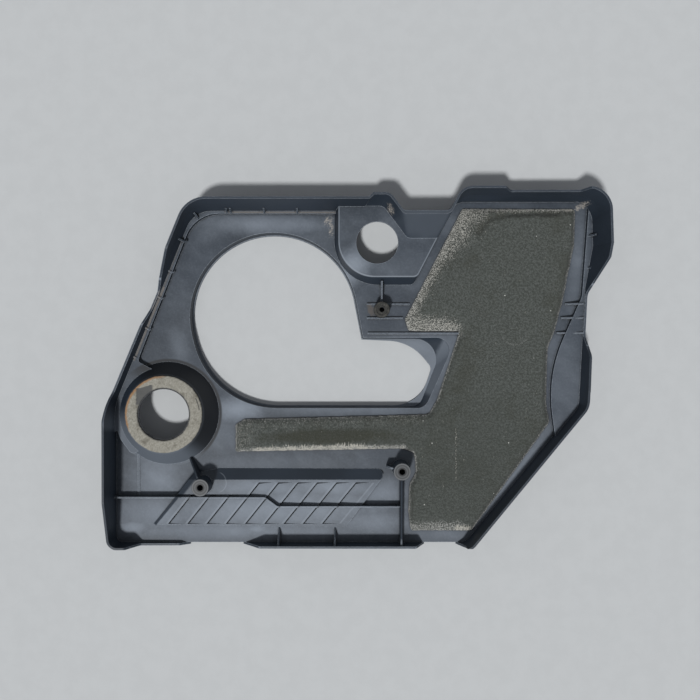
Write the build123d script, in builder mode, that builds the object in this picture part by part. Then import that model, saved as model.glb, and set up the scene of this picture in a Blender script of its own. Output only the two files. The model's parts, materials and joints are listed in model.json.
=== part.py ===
from build123d import *
import os

os.makedirs("parts", exist_ok=True)

# Heights above the ground, in millimetres, with the cover lying on the rim of its opening
styled_face = 12.0
panel_top = 14.5
ledge_top = 21.5
plateau_top = 34.0
collar_top = 34.5
rim_top = 58.0

# Thicknesses and depths
wall = 2.5
lip = 2.5
rib = 1.8
bead = 2.6
edge_round = 2.0
pad_thickness = 7.0
ring_thickness = 2.5
notch_wall = 4.1

# Collar round the filler hole
collar_centre = (-217.6, -50.3)
collar_foot_radius = 60.6
collar_radius = 43.6
filler_radius = 28.2
ring_outer = 43.2
ring_inner = 29.4

# Round hole in the plateau
plateau_hole_centre = (22.2, 142.6)
plateau_hole_radius = 23.6

# Opening through the panel
mouth_centre = (-96.0, 60.4)
mouth_radius = 94.0
mouth_start = 9
mouth_sweep = 186

# Lean of the collar's wall, and the wall's thickness measured level
collar_lean = (collar_foot_radius - collar_radius) / (collar_top - styled_face)
collar_wall = wall * (1 + collar_lean**2) ** 0.5

# Mounting posts
post_one = (-175.1, -131.3)
post_two = (49.7, -113.7)
post_three = (27.5, 67.4)
post_top = 44.0
post_radius = 9.6
post_draft = 0.6
post_bore = 3.3
post_bore_depth = 24.0
stub_radius = 5.5
stub_top = 33.0
bush_radius = 9.0
bush_foot = 20.0
bush_top = 36.0
bush_bore = 2.6
bush_clearance = 0.15

# Ribs and gussets: heights of their tops, and how deep their feet are sunk
low_rib_top = 17.5
long_rib_top = 24.5
bead_height = 0.8
gusset_height = 10.0
low_gusset_height = 2.5
foot_sunk = 1.0
gusset_hold = 1.6
fin_gap = 0.5


# Outlines
def side_line(start, end, move):
    """A side of an outline, moved outward by its own amount."""
    along_x = end[0] - start[0]
    along_y = end[1] - start[1]
    length = (along_x**2 + along_y**2) ** 0.5
    moved = (start[0] + move * along_y / length, start[1] - move * along_x / length)
    return moved, (along_x / length, along_y / length)


def crossing(first, second):
    """The point where two side lines meet."""
    (x1, y1), (dx1, dy1) = first
    (x2, y2), (dx2, dy2) = second
    reach = ((x2 - x1) * dy2 - (y2 - y1) * dx2) / (dx1 * dy2 - dy1 * dx2)
    return (x1 + reach * dx1, y1 + reach * dy1)


def shifted(points, moves):
    """The outline with each side moved outward by its own amount."""
    count = len(points)
    lines = [side_line(points[i], points[(i + 1) % count], moves[i]) for i in range(count)]
    return [crossing(lines[i - 1], lines[i]) for i in range(count)]


def grown_radii(points, radii, grow):
    """Corner radii of the outline once its sides have moved outward."""
    grown = []
    for i, radius in enumerate(radii):
        before = points[i - 1]
        here = points[i]
        after = points[(i + 1) % len(points)]
        turn = (here[0] - before[0]) * (after[1] - here[1]) - (here[1] - before[1]) * (after[0] - here[0])
        if radius == 0:
            grown.append(0)
        elif turn > 0:
            grown.append(radius + grow)
        else:
            grown.append(max(radius - grow, 1.0))
    return grown


def outline(points, radii):
    """A closed flat face with rounded corners."""
    with BuildSketch(Plane.XY) as face:
        with BuildLine(Plane.XY):
            FilletPolyline(*points, radius=radii, close=True)
        make_face()
    return face.sketch


def mouth(grow, lobe, radii):
    """The opening's outline: a large round side and a lobe to its lower right."""
    with BuildSketch(Plane.XY) as face:
        with BuildLine(Plane.XY):
            round_side = CenterArc(mouth_centre, mouth_radius + grow, mouth_start, mouth_sweep)
            FilletPolyline(round_side @ 1, *lobe, round_side @ 0, radius=radii)
        make_face()
    return face.sketch


# Inner face of the skirt at the height of the plateau, anticlockwise from the lower left corner
waist = [
    (-277.0, -199.0),
    (124.8, -199.0),
    (253.9, -42.3),
    (260.5, 80.0),
    (271.7, 140.0),
    (270.0, 195.7),
    (114.9, 195.7),
    (90.1, 147.5),
    (56.3, 147.5),
    (29.1, 183.9),
    (9.0, 183.9),
    (8.4, 183.35),
    (-187.9, 183.35),
    (-277.0, -36.7),
]
waist_radii = [8, 14, 20, 0, 0, 24, 16, 5, 8, 9, 0, 0, 30, 60]

# How far each side leans outward above and below that height
lean_below = [0.2, 0.4, 1.4, 3.1, 3.1, 3.8, 0, 0, 0, 2.9, 0, 2.9, 2.0, 0.4]
lean_above = [0.4, 0.8, 1.9, 6.0, 6.0, 3.4, 0, 26.6, 10.8, 9.9, 0, 5.2, 1.0, 0.8]
skirt_walls = [wall] * 7 + [notch_wall] + [wall] * 6

foot = shifted(waist, [-lean for lean in lean_below])
rim = shifted(waist, lean_above)
skirt_radii = grown_radii(waist, waist_radii, wall)

# Edge of the panel, inside the ledges
step_share = 0.79
step_start = (
    foot[1][0] + step_share * (foot[2][0] - foot[1][0]),
    foot[1][1] + step_share * (foot[2][1] - foot[1][1]),
)
island = [
    foot[0],
    foot[1],
    step_start,
    (216.0, -7.2),
    (256.3, 83.0),
    (264.5, foot[5][1]),
    foot[6],
    foot[7],
    foot[8],
    (33.8, 177.6),
    (-185.3, 177.6),
    (-250.6, 9.0),
    (-228.0, -3.0),
    (-240.0, -83.0),
    (-256.0, -99.0),
    (-270.0, -80.0),
    (foot[0][0], -60.0),
]
island_radii = [8, 14, 3, 165, 20, 10, 16, 5, 8, 6, 40, 4, 0, 0, 6, 20, 2]

# Whole outer body of the cover, not yet hollow
with BuildPart() as body:
    with BuildSketch(Plane.XY.offset(styled_face)):
        add(outline(shifted(island, [wall] * 17), grown_radii(island, island_radii, wall)))
    extrude(amount=ledge_top - styled_face)
    with BuildSketch(Plane.XY.offset(ledge_top - wall)):
        add(outline(shifted(foot, skirt_walls), skirt_radii))
    extrude(amount=wall)
    with BuildSketch(Plane.XY.offset(ledge_top)):
        add(outline(shifted(foot, skirt_walls), skirt_radii))
    with BuildSketch(Plane.XY.offset(plateau_top)):
        add(outline(shifted(waist, skirt_walls), skirt_radii))
    loft(ruled=True)
    with BuildSketch(Plane.XY.offset(plateau_top)):
        add(outline(shifted(waist, skirt_walls), skirt_radii))
    with BuildSketch(Plane.XY.offset(rim_top)):
        add(outline(shifted(rim, skirt_walls), skirt_radii))
    loft(ruled=True)

# Space inside the skirt
with BuildPart() as inside:
    with BuildSketch(Plane.XY.offset(panel_top)):
        add(outline(island, island_radii))
    extrude(amount=ledge_top - panel_top)
    with BuildSketch(Plane.XY.offset(ledge_top)):
        add(outline(foot, waist_radii))
    with BuildSketch(Plane.XY.offset(plateau_top)):
        add(outline(waist, waist_radii))
    loft(ruled=True)
    with BuildSketch(Plane.XY.offset(plateau_top)):
        add(outline(waist, waist_radii))
    with BuildSketch(Plane.XY.offset(rim_top)):
        add(outline(rim, waist_radii))
    loft(ruled=True)

# Plateau with drafted sides, and the hollow under it
plateau_upper = [(-21.4, 192.0), (-21.4, 104.2), (67.9, 104.2), (113.0, 192.0)]
plateau_lower = [(-27.0, 192.0), (-27.0, 95.8), (63.6, 95.8), (113.0, 192.0)]
plateau_upper_radii = [0, 40, 8, 0]
plateau_lower_radii = [0, 52, 8, 0]
plateau_walls = [wall, wall, wall, -50.0]

with BuildPart() as plateau:
    with BuildSketch(Plane.XY.offset(styled_face)):
        add(outline(plateau_lower, plateau_lower_radii))
    with BuildSketch(Plane.XY.offset(plateau_top)):
        add(outline(plateau_upper, plateau_upper_radii))
    loft(ruled=True)
    fillet(plateau.edges().group_by(Axis.Z)[-1], edge_round)
    add(body.part, mode=Mode.INTERSECT)

with BuildPart() as plateau_hollow:
    with BuildSketch(Plane.XY.offset(styled_face)):
        add(outline(shifted(plateau_lower, [-side for side in plateau_walls]), plateau_lower_radii))
    with BuildSketch(Plane.XY.offset(plateau_top - wall)):
        add(outline(shifted(plateau_upper, [-side for side in plateau_walls]), plateau_upper_radii))
    loft(ruled=True)

# Conical collar, kept inside the skirt
with BuildPart() as collar:
    with BuildSketch(Plane.XY.offset(styled_face)):
        with Locations(collar_centre):
            Circle(collar_foot_radius)
    with BuildSketch(Plane.XY.offset(collar_top)):
        with Locations(collar_centre):
            Circle(collar_radius)
    loft(ruled=True)
    add(body.part, mode=Mode.INTERSECT)

# Rim of the skirt: heights along each side, cut away above
rim_clear = rim_top + 12


def above(profile, radius):
    """The area above a line of rim heights."""
    first = profile[0][0]
    last = profile[-1][0]
    soft = [0] + [radius] * (len(profile) - 2) + [0, 0, 0]
    return outline(profile + [(last, rim_clear), (first, rim_clear)], soft)


left_rim = [
    (-215, 40),
    (-198, 40.5),
    (-146, 57),
    (-56, 57.5),
    (-26, 36),
    (50, 33.5),
    (68, 24.5),
    (88, 24),
    (134, 55),
    (215, 55.5),
]
right_rim = [(-70, 46), (-20, 46.5), (15, 45), (37, 23.5), (84, 23), (124, 58.5), (215, 60)]
top_rim = [(-230, 55), (98, 55.5), (110, 58.6), (162, 59), (170, 45), (248, 45.5), (257, 59), (300, 60)]
bottom_rim = [
    (-300, 41),
    (-260, 40),
    (-248, 20.5),
    (-203, 20),
    (-190, styled_face - 1),
    (-132, styled_face - 1),
    (-110, 34),
    (66, 34.5),
    (77, styled_face - 1),
    (113, styled_face - 1),
    (128, 46),
    (150, 46.5),
]

# How far the cuts start outside the cover, and where they end inside it
far_out = 300.0
far_up = 215.0
left_cut_end = -185.0
right_cut_end = 238.0
top_cut_end = 163.0
corner_cut = (100.0, -25.0)
corner_height = 46.0
long_soft = 9.0
short_soft = 4.0

with BuildPart() as rim_cuts:
    with BuildSketch(Plane.YZ.offset(-far_out)):
        add(above(left_rim, long_soft))
    extrude(amount=far_out + left_cut_end)
    with BuildSketch(Plane.YZ.offset(right_cut_end)):
        add(above(right_rim, long_soft))
    extrude(amount=far_out - right_cut_end)
    with BuildSketch(Plane.XZ.offset(-far_up)):
        add(above(top_rim, short_soft))
    extrude(amount=far_up - top_cut_end)
    with BuildSketch(Plane.XZ.offset(-foot[0][1])):
        add(above(bottom_rim, short_soft))
    extrude(amount=far_up + foot[0][1])
    with BuildSketch(Plane.XY.offset(corner_height)):
        with Locations(corner_cut):
            Rectangle(far_out - corner_cut[0], far_up + corner_cut[1], align=(Align.MIN, Align.MAX))
    extrude(amount=rim_clear - corner_height)

# Opening: lip at the bottom, sloped well above it
through_lobe = [(-166.0, -42.5), (72.0, -42.5), (86.5, 1.5), (62.0, 31.5), (5.0, 34.0)]
through_radii = [98, 40, 8, 55, 0]
well_low_lobe = [(-167.4, -43.7), (72.0, -43.7), (103.0, 34.6), (5.6, 35.0)]
well_high_lobe = [(-168.8, -44.9), (78.0, -44.9), (114.0, 36.0), (6.6, 36.4)]
rim_low_lobe = [(-170.3, -46.2), (73.8, -46.2), (106.7, 37.1), (8.0, 37.5)]
rim_high_lobe = [(-171.7, -47.4), (79.8, -47.4), (117.7, 38.5), (9.0, 38.9)]
well_low_radii = [98, 14, 24, 0]
well_high_radii = [98, 14, 15, 0]
lip_step = 1.2

with BuildPart() as opening_rim:
    with BuildSketch(Plane.XY):
        add(mouth(lip_step + wall, rim_low_lobe, well_low_radii))
    with BuildSketch(Plane.XY.offset(panel_top)):
        add(mouth(2 * lip_step + wall, rim_high_lobe, well_high_radii))
    loft(ruled=True)

with BuildPart() as opening_well:
    with BuildSketch(Plane.XY.offset(lip)):
        add(mouth(lip_step, well_low_lobe, well_low_radii))
    with BuildSketch(Plane.XY.offset(panel_top)):
        add(mouth(2 * lip_step, well_high_lobe, well_high_radii))
    loft(ruled=True)
    with BuildSketch(Plane.XY):
        add(mouth(0, through_lobe, through_radii))
    extrude(amount=lip)

# Louvred panel: a tilted wedge with slats that dip towards open slots
louvre_outline = [(-233.3, -178.5), (-13.0, -181.5), (34.9, -114.6), (-158.0, -113.6), (-187.0, -119.4)]
louvre_low = -182.0
louvre_high = -126.0
louvre_end = -113.6
louvre_rise = 7.5
slat_start = (-217.4, -177.8)
slat_pitch = 22.1
slat_run = (39.0, 48.8)
slat_depth = 1.4
slat_crest = 2.2
slat_slot = 1.2
slot_reach = 8.0
end_slot_length = 16.5
end_slot_width = 2.0
short_slats = 3
slat_count = 9
short_share = 0.71
slat_gap = slat_pitch * slat_run[1] / (slat_run[0] ** 2 + slat_run[1] ** 2) ** 0.5
louvre_slope = louvre_rise / (louvre_high - louvre_low)

with BuildPart() as louvre:
    with BuildSketch(Plane.YZ.offset(-240)):
        with BuildLine():
            Polyline(
                (louvre_low, styled_face),
                (louvre_end, styled_face),
                (louvre_end, panel_top),
                (louvre_high, panel_top + louvre_rise),
                (louvre_low, panel_top),
                close=True,
            )
        make_face()
    extrude(amount=280)
    with BuildSketch(Plane.XY):
        add(outline(louvre_outline, [3, 3, 6, 6, 3]))
    extrude(amount=rim_top, mode=Mode.INTERSECT)

with BuildPart() as louvre_hollow:
    with BuildSketch(Plane.YZ.offset(-240)):
        with BuildLine():
            Polyline(
                (louvre_low + 18, styled_face),
                (louvre_end - 6, styled_face),
                (louvre_high, panel_top + louvre_rise - wall - slat_depth),
                close=True,
            )
        make_face()
    extrude(amount=280)
    with BuildSketch(Plane.XY):
        add(outline(shifted(louvre_outline, [-wall] * 5), [3, 3, 4, 4, 3]))
    extrude(amount=rim_top, mode=Mode.INTERSECT)


def slat_share(number):
    """The share of the full length that a slat has."""
    return short_share if number < short_slats else 1.0


def louvre_bar(number, profile):
    """A bar along one slat with level ends; x runs across the slats and y into the panel."""
    along = Vector(slat_run[0], slat_run[1], louvre_slope * slat_run[1])
    out = Vector(0, -louvre_slope, 1)
    foot_height = panel_top + louvre_slope * (slat_start[1] - louvre_low)
    low_point = Vector(slat_start[0] + number * slat_pitch, slat_start[1], foot_height) - along * 0.3
    with BuildPart() as piece:
        with BuildSketch(Plane(low_point, x_dir=along.cross(out), z_dir=along)):
            with BuildLine():
                Polyline(*profile, close=True)
            make_face()
        extrude(amount=along.length * 1.6)
        with BuildSketch(Plane.XY):
            with Locations((low_point.X, slat_start[1])):
                Rectangle(far_out, slat_run[1] * slat_share(number), align=(Align.CENTER, Align.MIN))
        extrude(amount=rim_top, mode=Mode.INTERSECT)
    return piece.part


def slat(number):
    """The space over one slat, which rises to the right, and the slot along its low side."""
    width = slat_gap - slat_crest
    slot_dip = slat_depth * (1 - slat_slot / width)
    return louvre_bar(
        number,
        [(0, -1), (0, slot_reach), (slat_slot, slot_reach), (slat_slot, slot_dip), (width, 0), (width, -1)],
    )


def slat_end(number):
    """The tapering slot across the upper end of one slat."""
    share = slat_share(number)
    x = slat_start[0] + number * slat_pitch + slat_run[0] * share
    y = slat_start[1] + slat_run[1] * share
    low = (x - end_slot_width * slat_run[0] / slat_run[1], y - end_slot_width)
    with BuildPart() as piece:
        with BuildSketch(Plane.XY):
            with BuildLine():
                Polyline((x, y), low, (x + end_slot_length, y), close=True)
            make_face()
        extrude(amount=rim_top)
    return piece.part


def plate(start, end, start_top, end_top, base, thickness):
    """A thin upright plate between two points, with a sloping top edge."""
    run = Vector(end[0] - start[0], end[1] - start[1], 0)
    across = Vector(run.Y, -run.X, 0)
    with BuildPart() as piece:
        with BuildSketch(Plane((start[0], start[1], 0), x_dir=run, z_dir=across)):
            with BuildLine():
                Polyline((0, base), (run.length, base), (run.length, end_top), (0, start_top), close=True)
            make_face()
        extrude(amount=thickness / 2, both=True)
    return piece.part


# Places of the ribs on the panel
low_ribs = [
    ((11.0, 74.6), (60.0, 74.6)),
    ((11.0, 58.6), (52.0, 58.6)),
    ((12.0, 41.0), (116.0, 41.0)),
]
long_rib = [(foot[0][0] - foot_sunk, -145.8), (-105.3, -146.3), (-91.3, -156.5), (post_two[0], -156.5)]
bead_line = ((-250.9, -92.0), (-250.9, -145.0))
bottom_gussets = (-89.6, -25.6)
bottom_gusset_end = -181.5
bottom_gusset_top = 33.0
ramp_ribs = [(238.0, 74.6), (233.0, 58.6), (228.0, 41.4)]
ramp_end = 257.0

# Fins at the posts: start, end, height at the start, height at the end
fins = [
    (post_one, (-191.2, -101.9), 40.0, 20.0),
    (post_two, (33.0, -109.8), 40.0, 30.0),
    (post_two, (post_two[0], foot[0][1] - foot_sunk), 36.0, 31.0),
    ((27.6, post_three[1] + bush_radius + fin_gap), (27.8, 100.0), 27.0, 30.0),
]

# Places of the gussets on the ledges
left_gussets = (146.9, 112.0, 82.3, 47.0, 13.9)
last_tall_gusset = 120.0
top_gussets = (-148.6, -144.0, -105.9, -68.4)
right_gussets = (152.3, 115.4)
right_lean = 0.08
corner_gusset = (-183.4, 175.2)

# Ways inward from the walls, and how far the gussets reach over each ledge
left_inward = (0.93, -0.37)
top_inward = (0.0, -1.0)
right_inward = (-1.0, 0.0)
corner_inward = (0.54, -0.84)
left_reach = 5.6
top_reach = 2.6
right_reach = 4.5
corner_reach = 5.1


def ribs():
    """Ribs, fins and small gussets that stand on the panel."""
    sunk = panel_top - foot_sunk
    bead_top = panel_top + bead_height
    pieces = [plate(start, end, low_rib_top, low_rib_top, sunk, rib) for start, end in low_ribs]
    for start, end in zip(long_rib, long_rib[1:]):
        pieces.append(plate(start, end, long_rib_top, long_rib_top, sunk, rib))
    for fin in fins:
        pieces.append(plate(*fin, sunk, rib))
    pieces.append(plate(*bead_line, bead_top, bead_top, sunk, bead))
    for x in bottom_gussets:
        start = (x, foot[0][1] - foot_sunk)
        pieces.append(plate(start, (x, bottom_gusset_end), bottom_gusset_top, panel_top, sunk, rib))
    for x, y in ramp_ribs:
        pieces.append(plate((x, y), (ramp_end, y), low_rib_top, ledge_top + low_gusset_height, sunk, rib))
    return pieces


def wall_gusset(place, inward, reach, height):
    """A small gusset from inside the wall to a point on the ledge."""
    start = (place[0] - gusset_hold * inward[0], place[1] - gusset_hold * inward[1])
    end = (place[0] + reach * inward[0], place[1] + reach * inward[1])
    return plate(start, end, ledge_top + height, ledge_top, ledge_top - foot_sunk, rib)


def ledge_gussets():
    """Small gussets between the ledges and the skirt."""
    pieces = [wall_gusset(corner_gusset, corner_inward, corner_reach, gusset_height)]
    for y in left_gussets:
        share = (y - foot[12][1]) / (foot[13][1] - foot[12][1])
        x = foot[12][0] + share * (foot[13][0] - foot[12][0])
        height = gusset_height if y > last_tall_gusset else low_gusset_height
        pieces.append(wall_gusset((x, y), left_inward, left_reach, height))
    for x in top_gussets:
        pieces.append(wall_gusset((x, foot[12][1]), top_inward, top_reach, gusset_height))
    for y in right_gussets:
        x = foot[4][0] - right_lean * abs(y - waist[4][1])
        pieces.append(wall_gusset((x, y), right_inward, right_reach, gusset_height))
    return pieces


# Cover shell
with BuildPart() as cover_shell:
    add(body.part)
    add(inside.part, mode=Mode.SUBTRACT)
    add(rim_cuts.part, mode=Mode.SUBTRACT)
    add(plateau.part)
    add(collar.part)
    add(louvre.part)
    add([slat(number) for number in range(slat_count)], mode=Mode.SUBTRACT)
    add([slat_end(number) for number in range(slat_count)], mode=Mode.SUBTRACT)
    add(ribs() + ledge_gussets())
    for centre in (post_one, post_two):
        with BuildSketch(Plane.XY.offset(styled_face)):
            with Locations(centre):
                Circle(post_radius + post_draft)
        with BuildSketch(Plane.XY.offset(post_top)):
            with Locations(centre):
                Circle(post_radius)
        loft(ruled=True)
    with BuildSketch(Plane.XY.offset(styled_face)):
        with Locations(post_three):
            Circle(stub_radius)
    extrude(amount=stub_top - styled_face)
    add(opening_rim.part)
    add(opening_well.part, mode=Mode.SUBTRACT)
    add(plateau_hollow.part, mode=Mode.SUBTRACT)
    add(louvre_hollow.part, mode=Mode.SUBTRACT)
    with BuildSketch(Plane.XY.offset(styled_face)):
        with Locations(collar_centre):
            Circle(collar_foot_radius - collar_wall)
    with BuildSketch(Plane.XY.offset(collar_top - wall)):
        with Locations(collar_centre):
            Circle(collar_radius + collar_lean * wall - collar_wall)
    loft(ruled=True, mode=Mode.SUBTRACT)
    with Locations((*plateau_hole_centre, plateau_top)):
        Hole(plateau_hole_radius, depth=2 * wall)
    with Locations((*collar_centre, collar_top)):
        Hole(filler_radius, depth=2 * wall)
    with Locations((*post_one, post_top), (*post_two, post_top)):
        Hole(post_bore, depth=post_bore_depth)
    with Locations((*post_three, stub_top)):
        Hole(bush_bore, depth=stub_top - panel_top - wall)

cover_shell.part.label = "cover_shell"
export_step(cover_shell.part, "parts/cover_shell.step")

# Foam pad bonded to the panel
pad_outline = [
    (120.5, 183.9),
    (54.5, 57.0),
    (59.0, 43.6),
    (117.5, 43.6),
    (91.5, -35.1),
    (82.0, -52.0),
    (-130.1, -57.5),
    (-139.6, -63.7),
    (-139.6, -94.5),
    (52.1, -91.0),
    (65.3, -95.6),
    (67.5, -117.3),
    (59.8, -132.6),
    (58.8, -162.9),
    (61.0, -184.9),
    (130.8, -184.9),
    (209.4, -75.9),
    (220.2, -60.6),
    (216.4, -38.6),
    (218.0, 24.2),
    (226.5, 44.7),
    (235.0, 76.9),
    (248.7, 144.0),
    (249.9, 183.5),
]
pad_radii = [3, 4, 3, 2, 8, 6, 5, 4, 2, 8, 6, 8, 8, 12, 4, 3, 10, 5, 8, 20, 20, 30, 30, 5]

with BuildPart() as insulation_pad:
    with BuildSketch(Plane.XY.offset(panel_top)):
        add(outline(pad_outline, pad_radii))
    extrude(amount=pad_thickness)

insulation_pad.part.label = "insulation_pad"
export_step(insulation_pad.part, "parts/insulation_pad.step")

# Flat fibre ring on the filler collar
with BuildPart() as filler_seal_ring:
    with BuildSketch(Plane.XY.offset(collar_top)):
        with Locations(collar_centre):
            Circle(ring_outer)
            Circle(ring_inner, mode=Mode.SUBTRACT)
    extrude(amount=ring_thickness)

filler_seal_ring.part.label = "filler_seal_ring"
export_step(filler_seal_ring.part, "parts/filler_seal_ring.step")

# Rubber bush on the third post
with BuildPart() as rubber_bush:
    with BuildSketch(Plane.XY.offset(bush_foot)):
        with Locations(post_three):
            Circle(bush_radius)
    extrude(amount=bush_top - bush_foot)
    with BuildSketch(Plane.XY.offset(bush_foot)):
        with Locations(post_three):
            Circle(stub_radius + bush_clearance)
    extrude(amount=stub_top - bush_foot, mode=Mode.SUBTRACT)
    with Locations((*post_three, bush_top)):
        Hole(bush_bore)

rubber_bush.part.label = "rubber_bush"
export_step(rubber_bush.part, "parts/rubber_bush.step")
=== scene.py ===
import json
import math

import bmesh
import bpy
import numpy as np
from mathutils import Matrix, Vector, geometry, noise


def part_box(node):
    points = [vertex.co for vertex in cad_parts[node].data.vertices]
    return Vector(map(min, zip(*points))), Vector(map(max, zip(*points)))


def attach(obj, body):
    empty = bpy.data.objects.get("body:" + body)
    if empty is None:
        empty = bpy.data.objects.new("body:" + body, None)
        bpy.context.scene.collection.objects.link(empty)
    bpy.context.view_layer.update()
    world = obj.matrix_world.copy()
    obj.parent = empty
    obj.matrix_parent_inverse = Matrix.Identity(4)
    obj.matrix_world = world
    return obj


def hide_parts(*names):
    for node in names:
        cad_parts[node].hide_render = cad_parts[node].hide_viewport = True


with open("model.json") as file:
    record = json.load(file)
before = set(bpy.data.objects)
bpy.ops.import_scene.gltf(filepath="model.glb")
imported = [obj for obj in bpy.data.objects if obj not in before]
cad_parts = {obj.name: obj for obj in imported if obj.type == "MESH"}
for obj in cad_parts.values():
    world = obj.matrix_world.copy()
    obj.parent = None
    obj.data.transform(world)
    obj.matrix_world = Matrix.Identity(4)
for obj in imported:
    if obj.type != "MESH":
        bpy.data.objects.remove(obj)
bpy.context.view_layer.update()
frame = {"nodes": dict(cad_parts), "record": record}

# Units and the few places that several pieces share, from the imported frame
MM = 0.001
pad_low, pad_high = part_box("insulation_pad")
ring_low, ring_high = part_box("filler_seal_ring")
bush_low, bush_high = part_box("rubber_bush")
mounts = {mount["name"]: mount for mount in frame["record"]["mounts"]}

# Camera, straight above the inside of the cover
CAMERA_PLACE = (-0.0084, 0.0219, 0.900)
VIEW_ANGLE = math.radians(48.86)
SENSOR_WIDTH = 36.0

# Light: a soft key from the lower left and an even fill, together one for a level surface
KEY_TOWARDS = Vector((-0.17, -0.42, 0.89)).normalized()
KEY_SPREAD = math.radians(6)
FILL = 0.25
FLOOR_COLOUR = (0.52, 0.535, 0.54, 1.0)
BACKGROUND = (0.62, 0.63, 0.63, 1.0)
FILL_COLOUR = (0.94, 0.97, 1.04, 1.0)

# Floor, in metres, and how much darker its darker patches are
FLOOR_HALF = 6.0
FLOOR_PATCH = 0.02
FLOOR_DARKER = 0.97

# Settings of the shaders: a size in metres that takes the height out of a distance, and rays for edges
TALL = 10000.0
LOOKUPS = 6


class Shader:
    """A material in the making: each call adds a node and gives back its output."""

    def __init__(self, name):
        self.material = bpy.data.materials.new(name)
        self.material.use_nodes = True
        self.tree = self.material.node_tree
        self.surface = self.tree.nodes["Principled BSDF"]
        self.place = self.tree.nodes.new("ShaderNodeTexCoord").outputs["Object"]

    def feed(self, socket, value):
        """Links an output to a socket, or sets a plain value on it."""
        if isinstance(value, bpy.types.NodeSocket):
            self.tree.links.new(value, socket)
        else:
            socket.default_value = value

    def math(self, operation, first, second=0.0):
        node = self.tree.nodes.new("ShaderNodeMath")
        node.operation = operation
        self.feed(node.inputs[0], first)
        self.feed(node.inputs[1], second)
        return node.outputs[0]

    def vector(self, operation, first, second):
        node = self.tree.nodes.new("ShaderNodeVectorMath")
        node.operation = operation
        self.feed(node.inputs[0], first)
        self.feed(node.inputs[1], second)
        return node

    def step(self, value, low, high):
        """A smooth rise from 0 at low to 1 at high, or a fall where low is the larger."""
        node = self.tree.nodes.new("ShaderNodeMapRange")
        node.interpolation_type = "SMOOTHSTEP"
        self.feed(node.inputs["Value"], value)
        node.inputs["From Min"].default_value = min(low, high)
        node.inputs["From Max"].default_value = max(low, high)
        node.inputs["To Min"].default_value = 0.0 if low < high else 1.0
        node.inputs["To Max"].default_value = 1.0 if low < high else 0.0
        return node.outputs["Result"]

    def mapped(self, place=(0, 0, 0), turn=0.0, size=(1, 1, 1)):
        """Coordinates measured from a place, along turned axes, in units of a size."""
        node = self.tree.nodes.new("ShaderNodeMapping")
        node.vector_type = "TEXTURE"
        self.feed(node.inputs["Vector"], self.place)
        node.inputs["Location"].default_value = place
        node.inputs["Rotation"].default_value = (0, 0, turn)
        node.inputs["Scale"].default_value = size
        return node.outputs["Vector"]

    def noise(self, size, detail=3.0, rough=0.5, stretch=(1, 1, 1), turn=0.0):
        """Cloudy noise with features of about that size in metres."""
        node = self.tree.nodes.new("ShaderNodeTexNoise")
        self.feed(node.inputs["Vector"], self.mapped(turn=turn, size=stretch))
        node.inputs["Scale"].default_value = 1.0 / size
        node.inputs["Detail"].default_value = detail
        node.inputs["Roughness"].default_value = rough
        return node.outputs[0]

    def cells(self, size):
        """Cell noise: the distance to the nearest point and that point's own random colour."""
        node = self.tree.nodes.new("ShaderNodeTexVoronoi")
        self.feed(node.inputs["Vector"], self.place)
        node.inputs["Scale"].default_value = 1.0 / size
        return node.outputs["Distance"], node.outputs["Color"]

    def mix(self, share, first, second):
        node = self.tree.nodes.new("ShaderNodeMix")
        node.data_type = "RGBA"
        self.feed(node.inputs[0], share)
        self.feed(node.inputs[6], first)
        self.feed(node.inputs[7], second)
        return node.outputs[2]

    def both(self, first, second):
        return self.math("MULTIPLY", first, second)

    def plus(self, first, second):
        return self.math("ADD", first, second)

    def rest(self, mask):
        """What a mask leaves over."""
        return self.math("SUBTRACT", 1.0, mask)

    def evened(self, cloud):
        """Noise moved to lie evenly about zero."""
        return self.math("SUBTRACT", cloud, 0.5)

    def most(self, *masks):
        result = masks[0]
        for mask in masks[1:]:
            result = self.math("MAXIMUM", result, mask)
        return result

    def attribute(self, name):
        node = self.tree.nodes.new("ShaderNodeAttribute")
        node.attribute_name = name
        return node.outputs["Fac"]

    def roughen(self, reach, ragged, grain):
        """Makes the edge of a patch or line wander, with features of a size in metres."""
        if not ragged:
            return reach
        return self.plus(reach, self.both(self.evened(self.noise(grain, 4.0, 0.65)), 2 * ragged))

    def spot(self, centre, radii, turn=0.0, ragged=0.0, grain=6 * MM, full=0.6, none=1.25):
        """An oval patch, given in millimetres, that fades out between two shares of its radii."""
        place = (centre[0] * MM, centre[1] * MM, 0.0)
        size = (radii[0] * MM, radii[1] * MM, TALL)
        reach = self.vector("LENGTH", self.mapped(place, turn, size), (0, 0, 0)).outputs["Value"]
        return self.step(self.roughen(reach, ragged, grain), none, full)

    def streak(self, start, end, width, ragged=0.0, grain=5 * MM):
        """A soft line between two points, given in millimetres."""
        run = Vector((end[0] - start[0], end[1] - start[1]))
        middle = ((start[0] + end[0]) / 2 * MM, (start[1] + end[1]) / 2 * MM, 0.0)
        split = self.tree.nodes.new("ShaderNodeSeparateXYZ")
        self.feed(split.inputs[0], self.mapped(middle, math.atan2(run.y, run.x)))
        past = self.math("SUBTRACT", self.math("ABSOLUTE", split.outputs["X"]), run.length / 2 * MM)
        past = self.math("MAXIMUM", past, 0.0)
        aside = self.math("ABSOLUTE", split.outputs["Y"])
        reach = self.math("DIVIDE", self.math("MAXIMUM", past, aside), width * MM)
        return self.step(self.roughen(reach, ragged, grain), 1.2, 0.5)

    def along(self, centre, angle):
        """How far a place lies from a centre along an angle in radians, in millimetres."""
        split = self.tree.nodes.new("ShaderNodeSeparateXYZ")
        place = (centre[0] * MM, centre[1] * MM, 0.0)
        self.feed(split.inputs[0], self.mapped(place, angle, (MM, MM, MM)))
        return split.outputs["X"]

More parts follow.
